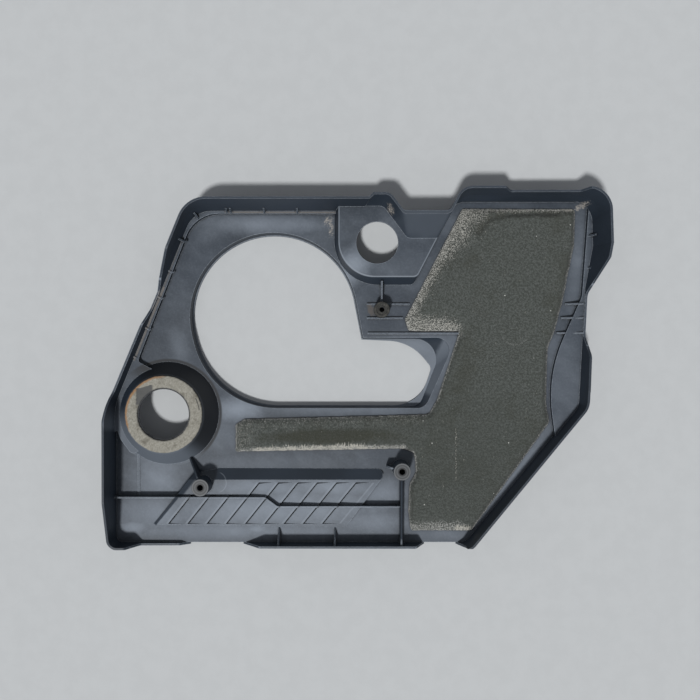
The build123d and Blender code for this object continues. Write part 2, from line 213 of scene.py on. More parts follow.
    def band(self, centre, inner, outer, soft):
        """A soft ring round a centre, all in millimetres."""
        place = (centre[0] * MM, centre[1] * MM, 0.0)
        flat = self.mapped(place, 0.0, (MM, MM, TALL))
        reach = self.vector("LENGTH", flat, (0, 0, 0)).outputs["Value"]
        return self.both(self.step(reach, inner - soft, inner), self.step(reach, outer + soft, outer))

    def height(self):
        """The height of a place, in millimetres."""
        split = self.tree.nodes.new("ShaderNodeSeparateXYZ")
        self.feed(split.inputs[0], self.mapped(size=(MM, MM, MM)))
        return split.outputs["Z"]

    def upward(self, low, high):
        """A mask of the faces that look up, from the height of their direction."""
        split = self.tree.nodes.new("ShaderNodeSeparateXYZ")
        self.feed(split.inputs[0], self.tree.nodes.new("ShaderNodeNewGeometry").outputs["Normal"])
        return self.step(split.outputs["Z"], low, high)

    def rounded(self, radius):
        """The surface direction with edges of that radius rounded off."""
        node = self.tree.nodes.new("ShaderNodeBevel")
        node.samples = LOOKUPS
        node.inputs["Radius"].default_value = radius
        return node.outputs["Normal"]

    def edges(self, radius):
        """A mask of the edges, from how far the rounded direction leaves the true one."""
        true = self.tree.nodes.new("ShaderNodeNewGeometry").outputs["Normal"]
        along = self.vector("DOT_PRODUCT", self.rounded(radius), true).outputs["Value"]
        return self.step(along, 0.995, 0.86)

    def crevices(self, distance):
        """A mask of the inner corners."""
        node = self.tree.nodes.new("ShaderNodeAmbientOcclusion")
        node.samples = LOOKUPS
        node.inputs["Distance"].default_value = distance
        return self.step(node.outputs["AO"], 0.9, 0.35)

    def relief(self, height, depth, strength=1.0, normal=None):
        node = self.tree.nodes.new("ShaderNodeBump")
        node.inputs["Strength"].default_value = strength
        node.inputs["Distance"].default_value = depth
        self.feed(node.inputs["Height"], height)
        if normal is not None:
            self.feed(node.inputs["Normal"], normal)
        return node.outputs["Normal"]

    def finish(self, colour, roughness, normal):
        self.feed(self.surface.inputs["Base Color"], colour)
        self.feed(self.surface.inputs["Roughness"], roughness)
        self.feed(self.surface.inputs["Normal"], normal)
        return self.material


# Colours, as linear red, green and blue
PLASTIC_DARK = (0.014, 0.021, 0.031, 1)
PLASTIC_MID = (0.022, 0.031, 0.045, 1)
# Pale dust, also used as painted sheen on faces that look up and as painted light
PLASTIC_DUST_AND_SHEEN = (0.225, 0.257, 0.300, 1)
LEDGE_DUST = (0.20, 0.175, 0.15, 1)
# Pale for wear and for painted highlights on edges
PLASTIC_WORN_AND_LIT = (0.32, 0.36, 0.41, 1)
# Painted shade on the collar
COLLAR_SHADE = (0.006, 0.007, 0.009, 1)
POST_TOP = (0.036, 0.039, 0.042, 1)
POST_RING = (0.098, 0.104, 0.110, 1)
# Painted shade: in inner corners, along the slats and in the post bores
PAINTED_SHADE = (0.008, 0.009, 0.011, 1)
DRY_MUD = (0.40, 0.37, 0.33, 1)
BROWN_STAIN = (0.10, 0.082, 0.066, 1)
FOAM_DARK = (0.058, 0.064, 0.057, 1)
FOAM_MID = (0.108, 0.117, 0.110, 1)
FOAM_OLIVE = (0.044, 0.045, 0.033, 1)
FOAM_SHADE = (0.034, 0.033, 0.024, 1)
FOAM_SAND = (0.48, 0.472, 0.43, 1)
FOAM_TORN = (0.46, 0.445, 0.395, 1)
# Pale grey for frayed fibres, the scuff and the painted highlight along the pad's outline
FOAM_PALE_GREY = (0.44, 0.44, 0.42, 1)
FOAM_SPECK = (0.62, 0.62, 0.58, 1)
FIBRE_TAN = (0.245, 0.235, 0.200, 1)
FIBRE_PALE = (0.40, 0.385, 0.335, 1)
FIBRE_STAIN = (0.135, 0.125, 0.100, 1)
FIBRE_RUST = (0.33, 0.18, 0.085, 1)
TORN_BASE = (0.090, 0.092, 0.093, 1)
RUBBER_DARK = (0.020, 0.020, 0.018, 1)
RUBBER_DUST = (0.062, 0.060, 0.052, 1)


# Places of dust and painted sheen on faces that look up, in millimetres: centre, radii, turn and strength
DUST_AND_SHEEN_PLACES = [
    ((-105, 166), (75, 10), 0.0, 0.52),
    ((-165, 163), (24, 14), 0.5, 0.26),
    ((-40, 150), (22, 24), 0.0, 0.15),
    ((-205, 26), (10, 22), 0.25, 0.28),
    ((-138, -46), (32, 13), 0.1, 0.80),
    ((-160, -75), (28, 22), 0.0, 0.22),
    ((-30, -45), (110, 7), 0.0, 0.30),
    ((-130, -108), (110, 9), 0.0, 0.16),
    ((-230, -127), (27, 30), 0.0, 0.62),
    ((-235, -165), (42, 22), 0.0, 0.60),
    ((-256, -182), (17, 8), 0.0, 0.75),
    ((-115, -184), (14, 6), 0.0, 0.80),
    ((-130, -186), (150, 10), 0.0, 0.56),
    ((-95, -160), (125, 24), 0.0, 0.74),
    ((-110, -136), (60, 12), 0.0, 0.62),
    ((-30, -135), (60, 12), 0.0, 0.60),
    ((30, -142), (26, 16), 0.0, 0.62),
    ((15, -176), (44, 14), 0.0, 0.55),
    ((75, 168), (40, 16), 0.0, 0.32),
    ((252, 125), (10, 62), -0.1, 0.31),
    ((97, -190), (38, 10), 0.0, 0.30),
    ((96, 14), (26, 40), -0.3, 0.30),
    ((66, 27), (34, 12), -0.2, 0.40),
    ((-6, 116), (24, 16), 0.6, 0.85),
    ((50, 112), (55, 18), 0.0, 0.14),
    ((80, 40), (50, 6), 0.0, 0.20),
    ((240, -10), (26, 60), 0.2, 0.20),
    ((182, -121), (80, 10), 0.944, 0.50),
]
# Brown dust that lies along the ledge, in millimetres: start, end, width and strength
LEDGE_LINES = [
    ((-200, 150), (-222, 92), 1.8, 0.35),
    ((-222, 92), (-255, 12), 2.2, 0.65),
    ((-150, 179), (-26, 178.5), 1.3, 0.5),
]
# Painted shade along dark lines, in millimetres: the left end of the louvre, the first post's fin and the
# second post's rib
SHADE_LINES = [
    ((-183, -117.5), (-202, -141.5), 4.2),
    ((-202, -141.5), (-231.5, -177), 2.0),
    ((-190, -103), (-181, -119), 2.4),
    ((49.7, -124), (49.7, -190), 1.8),
]
SHADE_LINE_SHARE = 0.88
# Crumbs of dried mud, in millimetres: centre, radii, turn and raggedness
MUD_PLACES = [
    ((-33, 170), (4, 6), -0.5, 1.2),
    ((-30, 160), (2.5, 8), 0.0, 1.3),
    ((37, 179), (2.5, 6), 0.5, 1.2),
    ((256, 186), (6, 3.5), 0.3, 1.3),
]
# A brown stain beside the bush, in millimetres
STAIN_CENTRE = (15.5, 68)
STAIN_RADII = (4, 7)
# A pale line painted as the highlight of a fold below the collar, and a scratch beside the first post, in
# millimetres
FOLD_START = (-251.5, -97)
FOLD_END = (-251.5, -146)
FOLD_WIDTH = 1.6
SCRATCH_CENTRE = (-161.0, -129.5)
SCRATCH_RADIUS = 11.5
SCRATCH_HALF = 0.3
# A recess beside the plateau, lightened with dust and painted sheen, in millimetres
RECESS_CENTRE = (77, 166)
RECESS_RADII = (34, 22)
# The louvre's slats, in millimetres: where the first starts, its run, and how the others follow
SLAT_START = (-217.4, -177.8)
SLAT_RUN = 39.0
SLAT_HIGH = 48.8
SLAT_WAY = math.atan2(SLAT_HIGH, SLAT_RUN)
SLAT_GAP = 17.26
SLAT_COUNT = 9
SLAT_REACH = SLAT_COUNT * SLAT_GAP
SHORT_SLAT_HIGH = 34.6
SHORT_SLAT_REACH = 2.7 * SLAT_GAP
# Where the painted shade line ends and the painted highlight starts, as shares of the way across from one
# slat to the next
SLAT_SHADE = (0.11, 0.08)
SLAT_HIGHLIGHT = (0.84, 0.90)
# The bank at the right end of the opening, lightened with dust and painted light, in millimetres
BANK_START = (84, -22)
BANK_END = (105, 29)
BANK_WIDTH = 9.0
# The collar's slope, in millimetres: its radii, its soft border, and how far the painted light on its lit
# side reaches over its foot
COLLAR_FOOT = 61.0
COLLAR_EDGE = 43.0
COLLAR_SOFT = 2.0
FOOT_BLEND = 5.0
HOLE_REACH = 30.0
# The ways its far side, painted as shade, and its lit side, painted as light, look, and where each starts
# and is full, in millimetres
SHADE_WAY = math.radians(38)
SHADE_SIDE = (-14, 14)
LIT_WAY = math.radians(252)
LIT_SIDE = (2, 30)
# The top of a post, in millimetres: its radius, its bore painted dark as shade, and rubbed rings with
# their strength
POST_RADIUS = 9.2
POST_BORE = 4.4
POST_RINGS = [(8.2, 9.0, 1.0), (5.4, 6.2, 0.5)]
# Shares of dust and painted sheen: all over, in smudges, in the grain, and in single places: the fold's
# painted highlight, painted light on the collar's lit side and the bank, the recess and the lip
DUST_AND_SHEEN_ALL_OVER = 0.055
DUST_AND_SHEEN_SMUDGES = 0.14
DUST_AND_SHEEN_GRAIN = 0.09
FOLD_HIGHLIGHT = 0.32
LIT_SLOPE = 0.40
BANK_DUST_AND_LIGHT = 0.42
RECESS_DUST_AND_SHEEN = 0.13
LIP_DUST_AND_LIGHT = 0.35
# Shares of wear and painted highlight: at edges in general, painted highlight on the plateau's shoulder
# and beside the slats, and wear in the scratch
EDGE_WEAR_AND_HIGHLIGHT = 0.85
CREST_HIGHLIGHT = 0.6
SLAT_HIGHLIGHT_SHARE = 0.30
WORN_SCRATCH = 0.25
# Shares of painted shade: in inner corners, which reach so far in metres, beside the slats and on the
# collar's far side and in its hole
CREASE_REACH = 3.6 * MM
CREASE_SHADE = 0.88
SLAT_SHADE_SHARE = 0.85
COLLAR_SHADE_SHARE = 0.9
# How much of the painted shade in the corner at the collar's foot gives way to painted light on its lit
# side
FOOT_LIT = 0.85
# Shares of the stain and the mud
STAIN_SHARE = 0.6
MUD_SHARE = 0.8
# How much dust, sheen and highlight the skirt's rim loses on its high side, where its low side, kept dark
# as painted shade, loses them most; and where that side ends and the low side starts
RIM_HIGH_SIDE_DIMMING = 0.65
RIM_SIDES = (160, 60)
# Roughness of the plastic, and what clouds, dust and dark lines add to it
PLASTIC_ROUGH = 0.46
CLOUDS_ROUGH = 0.10
DUST_ROUGH = 0.18
DARK_ROUGH = 0.35
# Heights, in millimetres
HOLE_LOW = 28.0
HOLE_HIGH = 31.0
LIP_TOP = 2.8
PANEL_TOP = 14.4
LEDGE_HIGH = 24.0
CREST_LOW = 32.0
CREST_HIGH = 34.3
RIM_LOW = 36.0
POST_HIGH = 43.8


def middle_of(mount):
    """Where a mount stands, in millimetres, seen from above."""
    place = mounts[mount]["pos_m"]
    return (place[0] / MM, place[1] / MM)


def collar_side(paint, way, side, foot=COLLAR_FOOT):
    """One side of the collar's slope, out to a radius in millimetres."""
    hole = middle_of("filler_hole")
    slope = paint.band(hole, COLLAR_EDGE, foot, COLLAR_SOFT)
    return paint.both(slope, paint.step(paint.along(hole, way), *side))


def dimmed_rim(paint):
    """A mask of the skirt's rim, where dust, sheen and highlight are taken off, most on its low side,
    kept dark as painted shade.
    """
    low_side = paint.step(paint.along((0, 0), math.pi / 2), *RIM_SIDES)
    dimming = paint.plus(RIM_HIGH_SIDE_DIMMING, paint.both(low_side, 1 - RIM_HIGH_SIDE_DIMMING))
    return paint.both(paint.step(paint.height(), RIM_LOW, RIM_LOW + 4), dimming)


def dust_and_sheen_share(paint, fine):
    """How much dust and painted sheen the plastic gets on faces that look up, with the fold's painted
    highlight, painted light on the collar's lit side and the bank, and a recess.
    """
    smudge = paint.noise(24 * MM, 4.0, 0.6, stretch=(1.8, 1, 1), turn=-0.5)
    places = [
        paint.both(paint.spot(centre, radii, turn, 0.40, 14 * MM, 0.0, 1.7), strength)
        for centre, radii, turn, strength in DUST_AND_SHEEN_PLACES
    ]
    # A pale line painted as the highlight of a fold
    places.append(paint.both(paint.streak(FOLD_START, FOLD_END, FOLD_WIDTH, 0.6, 9 * MM), FOLD_HIGHLIGHT))
    paler = paint.plus(paint.most(*places), paint.both(paint.step(smudge, 0.38, 0.75), DUST_AND_SHEEN_SMUDGES))
    paler = paint.plus(paler, paint.both(paint.step(fine, 0.40, 0.75), DUST_AND_SHEEN_GRAIN))
    # Only faces that look up get dust and painted sheen
    paler = paint.both(paint.plus(paler, DUST_AND_SHEEN_ALL_OVER), paint.upward(0.86, 0.985))
    # Less dust and sheen on the rim, and none on its low side, kept dark as painted shade
    paler = paint.both(paler, paint.rest(dimmed_rim(paint)))
    # Painted light on the collar's lit side
    slope = paint.both(collar_side(paint, LIT_WAY, LIT_SIDE), LIT_SLOPE)
    # Dust and painted light on the bank at the right end of the opening
    bank = paint.streak(BANK_START, BANK_END, BANK_WIDTH, 0.3, 8 * MM)
    bank = paint.both(bank, paint.step(paint.height(), PANEL_TOP, PANEL_TOP - 0.6))
    bank = paint.both(bank, BANK_DUST_AND_LIGHT)
    # Dust and painted sheen in the recess beside the plateau
    recess = paint.both(paint.spot(RECESS_CENTRE, RECESS_RADII, 0.0, 0.3, 14 * MM), RECESS_DUST_AND_SHEEN)
    return paint.most(paler, slope, bank, recess)


def collar_shade(paint, colour):
    """Painted shade on the collar's far side, which faces away from the key, and round the filler hole.
    """
    far_side = collar_side(paint, SHADE_WAY, SHADE_SIDE)
    inside = paint.step(paint.height(), HOLE_LOW, HOLE_HIGH)
    inside = paint.both(paint.band(middle_of("filler_hole"), 0, HOLE_REACH, 0.5), inside)
    return paint.mix(paint.both(paint.most(far_side, inside), COLLAR_SHADE_SHARE), colour, COLLAR_SHADE)


def slat_lines(paint, low, high):
    """Lines along the slats, where the share of the way across from one slat to the next is right."""
    across = paint.along(SLAT_START, SLAT_WAY - math.pi / 2)
    up = paint.along(SLAT_START, math.pi / 2)
    lines = paint.step(paint.math("FRACT", paint.math("DIVIDE", across, SLAT_GAP)), low, high)
    lines = paint.both(lines, paint.step(across, -3, -2))
    lines = paint.both(lines, paint.step(across, SLAT_REACH, SLAT_REACH - 1))
    full = paint.step(up, SLAT_HIGH, SLAT_HIGH - 1)
    short = paint.step(up, SHORT_SLAT_HIGH, SHORT_SLAT_HIGH - 1)
    tall = paint.step(across, SHORT_SLAT_REACH, SHORT_SLAT_REACH + 1)
    lines = paint.both(lines, paint.most(paint.both(full, tall), short))
    return paint.both(paint.both(lines, paint.step(up, 0, 1)), paint.upward(0.8, 0.9))


def wear_and_highlight_share(paint, fine, crease_shade):
    """Where edges are pale: wear and painted highlight on true edges, painted highlight on the plateau's
    shoulder and the slats, and wear in one scratch.
    """
    pale_edges = paint.both(paint.edges(1.2 * MM), paint.step(fine, 0.25, 0.60))
    # Painted highlight on the plateau's shoulder
    crest = paint.both(
        paint.step(paint.height(), CREST_LOW, CREST_LOW + 1),
        paint.step(paint.height(), CREST_HIGH, CREST_HIGH - 0.2),
    )
    crest = paint.both(paint.both(crest, paint.upward(0.35, 0.70)), paint.upward(0.995, 0.95))
    pale_edges = paint.most(pale_edges, paint.both(crest, CREST_HIGHLIGHT))
    pale_edges = paint.both(pale_edges, paint.rest(paint.both(crease_shade, 0.6)))
    pale_edges = paint.both(pale_edges, paint.rest(paint.both(dimmed_rim(paint), 0.8)))
    near_hole = paint.band(middle_of("filler_hole"), 0, COLLAR_EDGE + 4, 1.0)
    pale_edges = paint.both(pale_edges, paint.rest(paint.both(near_hole, 0.8)))
    # Painted highlight beside the slats
    pale_edges = paint.most(pale_edges, paint.both(slat_lines(paint, *SLAT_HIGHLIGHT), SLAT_HIGHLIGHT_SHARE))
    inner = SCRATCH_RADIUS - SCRATCH_HALF
    outer = SCRATCH_RADIUS + SCRATCH_HALF
    scratch = paint.band(SCRATCH_CENTRE, inner, outer, 0.4)
    scratch = paint.both(scratch, paint.step(paint.along(SCRATCH_CENTRE, 0.0), 2, 6))
    return paint.most(paint.both(pale_edges, EDGE_WEAR_AND_HIGHLIGHT), paint.both(scratch, WORN_SCRATCH))


def post_tops(paint, colour):
    """Rubbed rings, and bores painted dark as shade, on the tops of the two bare posts."""
    on_top = paint.step(paint.height(), POST_HIGH - 0.4, POST_HIGH)
    for mount in ("post_one_bore", "post_two_bore"):
        centre = middle_of(mount)
        disc = paint.band(centre, 0, POST_RADIUS, 0.6)
        bore = paint.band(centre, 0, POST_BORE, 0.6)
        rings = [
            paint.both(paint.band(centre, inner, outer, 0.5), strength)
            for inner, outer, strength in POST_RINGS
        ]
        colour = paint.mix(paint.both(disc, on_top), colour, POST_TOP)
        # The bore is painted dark as shade
        colour = paint.mix(paint.both(bore, on_top), colour, PAINTED_SHADE)
        colour = paint.mix(paint.both(paint.most(*rings), on_top), colour, POST_RING)
    return colour


def dried_mud(paint, fine):
    """Crumbs of dried mud at the upper ends of the plateau and in one corner."""
    places = [
        paint.spot(centre, radii, turn, ragged, 2 * MM)
        for centre, radii, turn, ragged in MUD_PLACES
    ]
    return paint.both(paint.most(*places), paint.step(fine, 0.38, 0.62))


def plastic():
    """Moulded shell: fine grain, dust and painted sheen where it faces up, painted light and shade on the
    collar, painted shade in corners and along dark lines, worn edges with painted highlights, and mud.
    """
    paint = Shader("shell_plastic")
    clouds = paint.noise(70 * MM, 4.0, 0.55)
    fine = paint.noise(2.2 * MM, 4.0, 0.7)
    grain = paint.noise(0.55 * MM, 2.0, 0.6)
    colour = paint.mix(paint.step(clouds, 0.32, 0.70), PLASTIC_DARK, PLASTIC_MID)
    # Dust and painted sheen on faces that look up, with painted light on the collar's lit side and the
    # bank
    paler = dust_and_sheen_share(paint, fine)
    colour = paint.mix(paler, colour, PLASTIC_DUST_AND_SHEEN)
    for start, end, width, strength in LEDGE_LINES:
        line = paint.both(paint.streak(start, end, width, 0.4, 4 * MM), paint.upward(0.5, 0.8))
        line = paint.both(line, paint.step(paint.height(), LEDGE_HIGH + 2, LEDGE_HIGH))
        colour = paint.mix(paint.both(line, strength), colour, LEDGE_DUST)
    # Painted shade on the collar's far side and round its hole
    colour = collar_shade(paint, colour)
    # Painted light at the foot on the collar's lit side eases the painted shade there
    lit_foot = collar_side(paint, LIT_WAY, LIT_SIDE, COLLAR_FOOT + FOOT_BLEND)
    # Painted shade in inner corners, from occlusion
    crease_shade = paint.both(paint.crevices(CREASE_REACH), paint.rest(paint.both(lit_foot, FOOT_LIT)))
    # Painted shade lines beside the slats
    shade_share = paint.both(slat_lines(paint, *SLAT_SHADE), SLAT_SHADE_SHARE)
    shade_share = paint.most(paint.both(crease_shade, CREASE_SHADE), shade_share)
    colour = paint.mix(shade_share, colour, PAINTED_SHADE)
    # Dust and painted light on the opening's lip
    lip = paint.both(paint.step(paint.height(), LIP_TOP + 0.8, LIP_TOP), paint.upward(0.90, 0.99))
    colour = paint.mix(paint.both(lip, LIP_DUST_AND_LIGHT), colour, PLASTIC_DUST_AND_SHEEN)
    # Wear and painted highlights on edges
    colour = paint.mix(wear_and_highlight_share(paint, fine, crease_shade), colour, PLASTIC_WORN_AND_LIT)
    # Painted shade along the louvre's left end, the first post's fin and the second post's rib
    dark = paint.most(*[paint.streak(start, end, width, 0.2) for start, end, width in SHADE_LINES])
    colour = paint.mix(paint.both(dark, SHADE_LINE_SHARE), colour, PLASTIC_DARK)
    colour = post_tops(paint, colour)
    stain = paint.spot(STAIN_CENTRE, STAIN_RADII, 0.3, 0.9, 3 * MM)
    colour = paint.mix(paint.both(stain, STAIN_SHARE), colour, BROWN_STAIN)
    mud = dried_mud(paint, fine)
    colour = paint.mix(paint.both(mud, MUD_SHARE), colour, DRY_MUD)
    roughness = paint.plus(PLASTIC_ROUGH, paint.both(clouds, CLOUDS_ROUGH))
    roughness = paint.plus(roughness, paint.both(paint.most(paler, mud), DUST_ROUGH))
    roughness = paint.plus(roughness, paint.both(dark, DARK_ROUGH))
    surface = paint.plus(paint.both(grain, 0.7), paint.both(mud, 2.0))
    normal = paint.relief(surface, 0.12 * MM, 0.55, paint.rounded(0.7 * MM))
    paint.surface.inputs["Specular IOR Level"].default_value = 0.36
    return paint.finish(colour, roughness, normal)


# A faint round scuff on the foam, in millimetres, and the way its stronger side looks
SCUFF_CENTRE = (180, 45)
SCUFF_RADIUS = 17.0
SCUFF_WAY = math.radians(275)
# A dashed line of adhesive on the foam, in millimetres
DASH_START = (112.5, -66)
DASH_END = (112.5, -126)
DASH_WIDTH = 0.9
# The darker middle of the arm and the darker low end, in millimetres
DARK_ARM_CENTRE = (-32, -77)
DARK_ARM_RADII = (78, 9)
DARK_ARM_TURN = 0.015
LOW_END_CENTRE = (120, -110)
LOW_END_RADII = (90, 75)
# Sizes of what shows in the foam, in metres: its cells, mottle, grit, tufts and clouds
FOAM_CELL = 1.15 * MM
FOAM_GRAIN = 1.05 * MM
FOAM_MOTTLE = 2.3 * MM
FOAM_GRIT = 1.15 * MM
FOAM_TUFT = 5 * MM
FOAM_CLOUD = 38 * MM
TORN_FIBRE = 1.3 * MM
# How far apart loose white specks may lie, in metres
SPECK_GAP = 14 * MM
# Shares of colour in the foam: on the arm, in clouds, at the low end, in the cells, and of painted shade
# in the groove
ARM_SHARE = 0.75
CLOUD_SHARE = 0.42
LOW_END_SHARE = 0.35
CELL_SHARE = 0.30
GROOVE_SHADE_SHARE = 0.42
# Shares of colour on the foam: sand, frayed fringe with painted highlight, scuff, torn edges and the
# dashed line
SAND_SHARE = 0.85
FRAYED_AND_LIT_SHARE = 0.8
SCUFF_SHARE = 0.15
TORN_SHARE = 0.95
DASH_SHARE = 0.5


def foam_body(paint, tuft, near, pressed):
    """The sheet's own colour, mottled and darker on the arm, the low end and its cells, with painted
    shade in and beside the groove.
    """
    mottle = paint.noise(FOAM_MOTTLE, 3.0, 0.8)
    clouds = paint.noise(FOAM_CLOUD, 4.0, 0.6)
    colour = paint.mix(paint.step(mottle, 0.40, 0.60), FOAM_DARK, FOAM_MID)
    dark_arm = paint.spot(DARK_ARM_CENTRE, DARK_ARM_RADII, DARK_ARM_TURN, 0.45, 14 * MM)
    colour = paint.mix(paint.both(dark_arm, ARM_SHARE), colour, FOAM_OLIVE)
    colour = paint.mix(paint.both(paint.step(clouds, 0.45, 0.70), CLOUD_SHARE), colour, FOAM_OLIVE)
    low_end = paint.spot(LOW_END_CENTRE, LOW_END_RADII, 0.0, 0.45, 22 * MM, 0.0, 1.5)
    colour = paint.mix(paint.both(low_end, LOW_END_SHARE), colour, FOAM_DARK)
    colour = paint.mix(paint.both(paint.step(near, 0.35, 0.80), CELL_SHARE), colour, FOAM_DARK)
    # Painted shade in and beside the groove
    shade = paint.both(pressed, paint.step(tuft, 0.22, 0.60))
    return paint.mix(paint.both(shade, GROOVE_SHADE_SHARE), colour, FOAM_SHADE)


def scuffed(paint, colour, grit):
    """Part of a faint ring on the foam."""
    scuff = paint.band(SCUFF_CENTRE, SCUFF_RADIUS - 0.5, SCUFF_RADIUS + 0.5, 0.9)
    scuff = paint.both(scuff, paint.step(paint.along(SCUFF_CENTRE, SCUFF_WAY), 4, 13))
    return paint.mix(paint.both(paint.both(scuff, grit), SCUFF_SHARE), colour, FOAM_PALE_GREY)


def torn_edges(paint, colour, patchy):
    """Whitish, fibrous edges where the sheet is torn."""
    fibres = paint.evened(paint.noise(TORN_FIBRE, 2.0, 0.6, stretch=(1, 4, 1)))
    ripped = paint.plus(paint.attribute("torn"), paint.both(patchy, 1.4))
    ripped = paint.plus(ripped, paint.both(fibres, 2.6))
    return paint.mix(paint.both(paint.step(ripped, 0.50, 1.15), TORN_SHARE), colour, FOAM_TORN)


def loose_specks(paint, colour):
    """White specks that lie here and there on the foam."""
    far, chance = paint.cells(SPECK_GAP)
    specks = paint.both(paint.step(far, 0.055, 0.030), paint.step(chance, 0.58, 0.62))
    return paint.mix(specks, colour, FOAM_SPECK)


def foam():
    """Foam sheet: fine cells, sandy pressed margins that thin out inward, frayed edges with a painted
    highlight along the outline, and specks.
    """
    paint = Shader("pad_foam")
    grain = paint.noise(FOAM_GRAIN, 2.0, 0.6)
    grit = paint.step(paint.noise(FOAM_GRIT, 2.0, 0.6), 0.36, 0.64)
    tuft = paint.noise(FOAM_TUFT, 4.0, 0.7)
    patchy = paint.evened(tuft)
    near = paint.cells(FOAM_CELL)[0]
    pressed = paint.attribute("pressed")
    colour = foam_body(paint, tuft, near, pressed)
    speckle = paint.plus(paint.both(grit, 0.55), paint.both(patchy, 0.35))
    cover = paint.plus(speckle, paint.both(paint.attribute("sandy"), 0.66))
    cover = paint.math("SUBTRACT", cover, paint.both(pressed, 0.04))
    grains = paint.step(cover, 0.66, 1.14)
    colour = paint.mix(paint.both(grains, SAND_SHARE), colour, FOAM_SAND)
    loose_and_lit = paint.plus(speckle, paint.both(paint.attribute("frayed_and_lit"), 0.60))
    # Frayed fibres and the painted highlight along the outline
    colour = paint.mix(paint.both(paint.step(loose_and_lit, 0.50, 1.08), FRAYED_AND_LIT_SHARE), colour, FOAM_PALE_GREY)
    colour = scuffed(paint, colour, grit)
    colour = torn_edges(paint, colour, patchy)
    dash = paint.both(paint.streak(DASH_START, DASH_END, DASH_WIDTH), paint.step(grit, 0.55, 1.0))
    colour = paint.mix(paint.both(dash, DASH_SHARE), colour, FOAM_TORN)
    colour = loose_specks(paint, colour)
    surface = paint.plus(grain, paint.both(tuft, 0.6))
    surface = paint.math("SUBTRACT", surface, paint.both(near, 0.5))
    surface = paint.plus(surface, paint.both(grains, 0.7))
    normal = paint.relief(surface, 0.9 * MM, 0.8)
    paint.surface.inputs["Specular IOR Level"].default_value = 0.12
    paint.surface.inputs["Sheen Weight"].default_value = 0.08
    return paint.finish(colour, 0.95, normal)


def fibre():
    """Pressed fibre ring: matted strands, stains, rust at its outer edge, dark where it is torn."""
    paint = Shader("ring_fibre")
    torn = paint.attribute("torn")
    rust = paint.attribute("rust")
    strands = paint.noise(1.3 * MM, 4.0, 0.75, stretch=(3, 1, 1), turn=0.6)
    crossing = paint.noise(1.3 * MM, 4.0, 0.75, stretch=(1, 3, 1), turn=0.3)
    mat = paint.math("MAXIMUM", strands, crossing)
    patch = paint.noise(11 * MM, 4.0, 0.65)
    colour = paint.mix(paint.step(mat, 0.42, 0.72), FIBRE_TAN, FIBRE_PALE)
    colour = paint.mix(paint.both(paint.step(patch, 0.50, 0.74), 0.75), colour, FIBRE_STAIN)
    bloom = paint.plus(rust, paint.both(paint.evened(patch), 1.0))
    colour = paint.mix(paint.both(paint.step(bloom, 0.45, 0.90), 0.8), colour, FIBRE_RUST)
    colour = paint.mix(paint.both(paint.attribute("inner"), 0.7), colour, TORN_BASE)
    bare = paint.plus(torn, paint.both(paint.evened(mat), 0.8))
    colour = paint.mix(paint.both(paint.step(bare, 0.30, 0.95), 0.9), colour, TORN_BASE)
    normal = paint.relief(mat, 0.7 * MM, 0.9)
    paint.surface.inputs["Specular IOR Level"].default_value = 0.15
    return paint.finish(colour, 0.92, normal)


def rubber():
    """Rubber bush: near black, dusty, with a faint bloom."""
    paint = Shader("bush_rubber")
    paler = paint.noise(3.5 * MM, 4.0, 0.65)
    grain = paint.noise(0.6 * MM, 2.0, 0.6)
    colour = paint.mix(paint.step(paler, 0.42, 0.72), RUBBER_DARK, RUBBER_DUST)
    pale_edges = paint.both(paint.edges(0.7 * MM), paint.step(paler, 0.30, 0.60))
    colour = paint.mix(paint.both(pale_edges, 0.5), colour, POST_RING)
    roughness = paint.plus(0.55, paint.both(paler, 0.25))
    normal = paint.relief(grain, 0.15 * MM, 0.5, paint.rounded(0.5 * MM))
    paint.surface.inputs["Specular IOR Level"].default_value = 0.35
    return paint.finish(colour, roughness, normal)


def new_piece(name, points, faces, material, node):
    """A mesh piece that rides on the part and stands for a node of the frame."""
    mesh = bpy.data.meshes.new(name)
    mesh.from_pydata([tuple(point) for point in points], [], faces)
    mesh.update()
    mesh.shade_smooth()
    mesh.materials.append(material)
    piece = bpy.data.objects.new(name, mesh)
    bpy.context.scene.collection.objects.link(piece)
    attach(piece, "root")
    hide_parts(node)
    return piece


def keep_values(piece, name, values):
    """Stores one number for each point of a piece, for its material to read."""
    attribute = piece.data.attributes.new(name, "FLOAT", "POINT")
    attribute.data.foreach_set("value", np.asarray(values, np.float32))


def ripple(points, size, seed):
    """Smooth noise from about -1 to 1 at each point of a flat list, with features of a size."""
    return np.array([noise.noise(Vector((x / size, y / size, seed))) for x, y in points])


def blend_in(values, low, high):
    """A smooth rise from 0 at low to 1 at high."""
    share = np.clip((values - low) / (high - low), 0, 1)
    return share * share * (3 - 2 * share)


def off_line(points, start, end):
    """Distance of points from a stretch of line, and the share along it."""
    start = np.array(start, float)
    run = np.array(end, float) - start
    share = np.clip(((points - start) @ run) / (run @ run), 0, 1)
    return np.linalg.norm(points - start - share[:, None] * run, axis=1), share


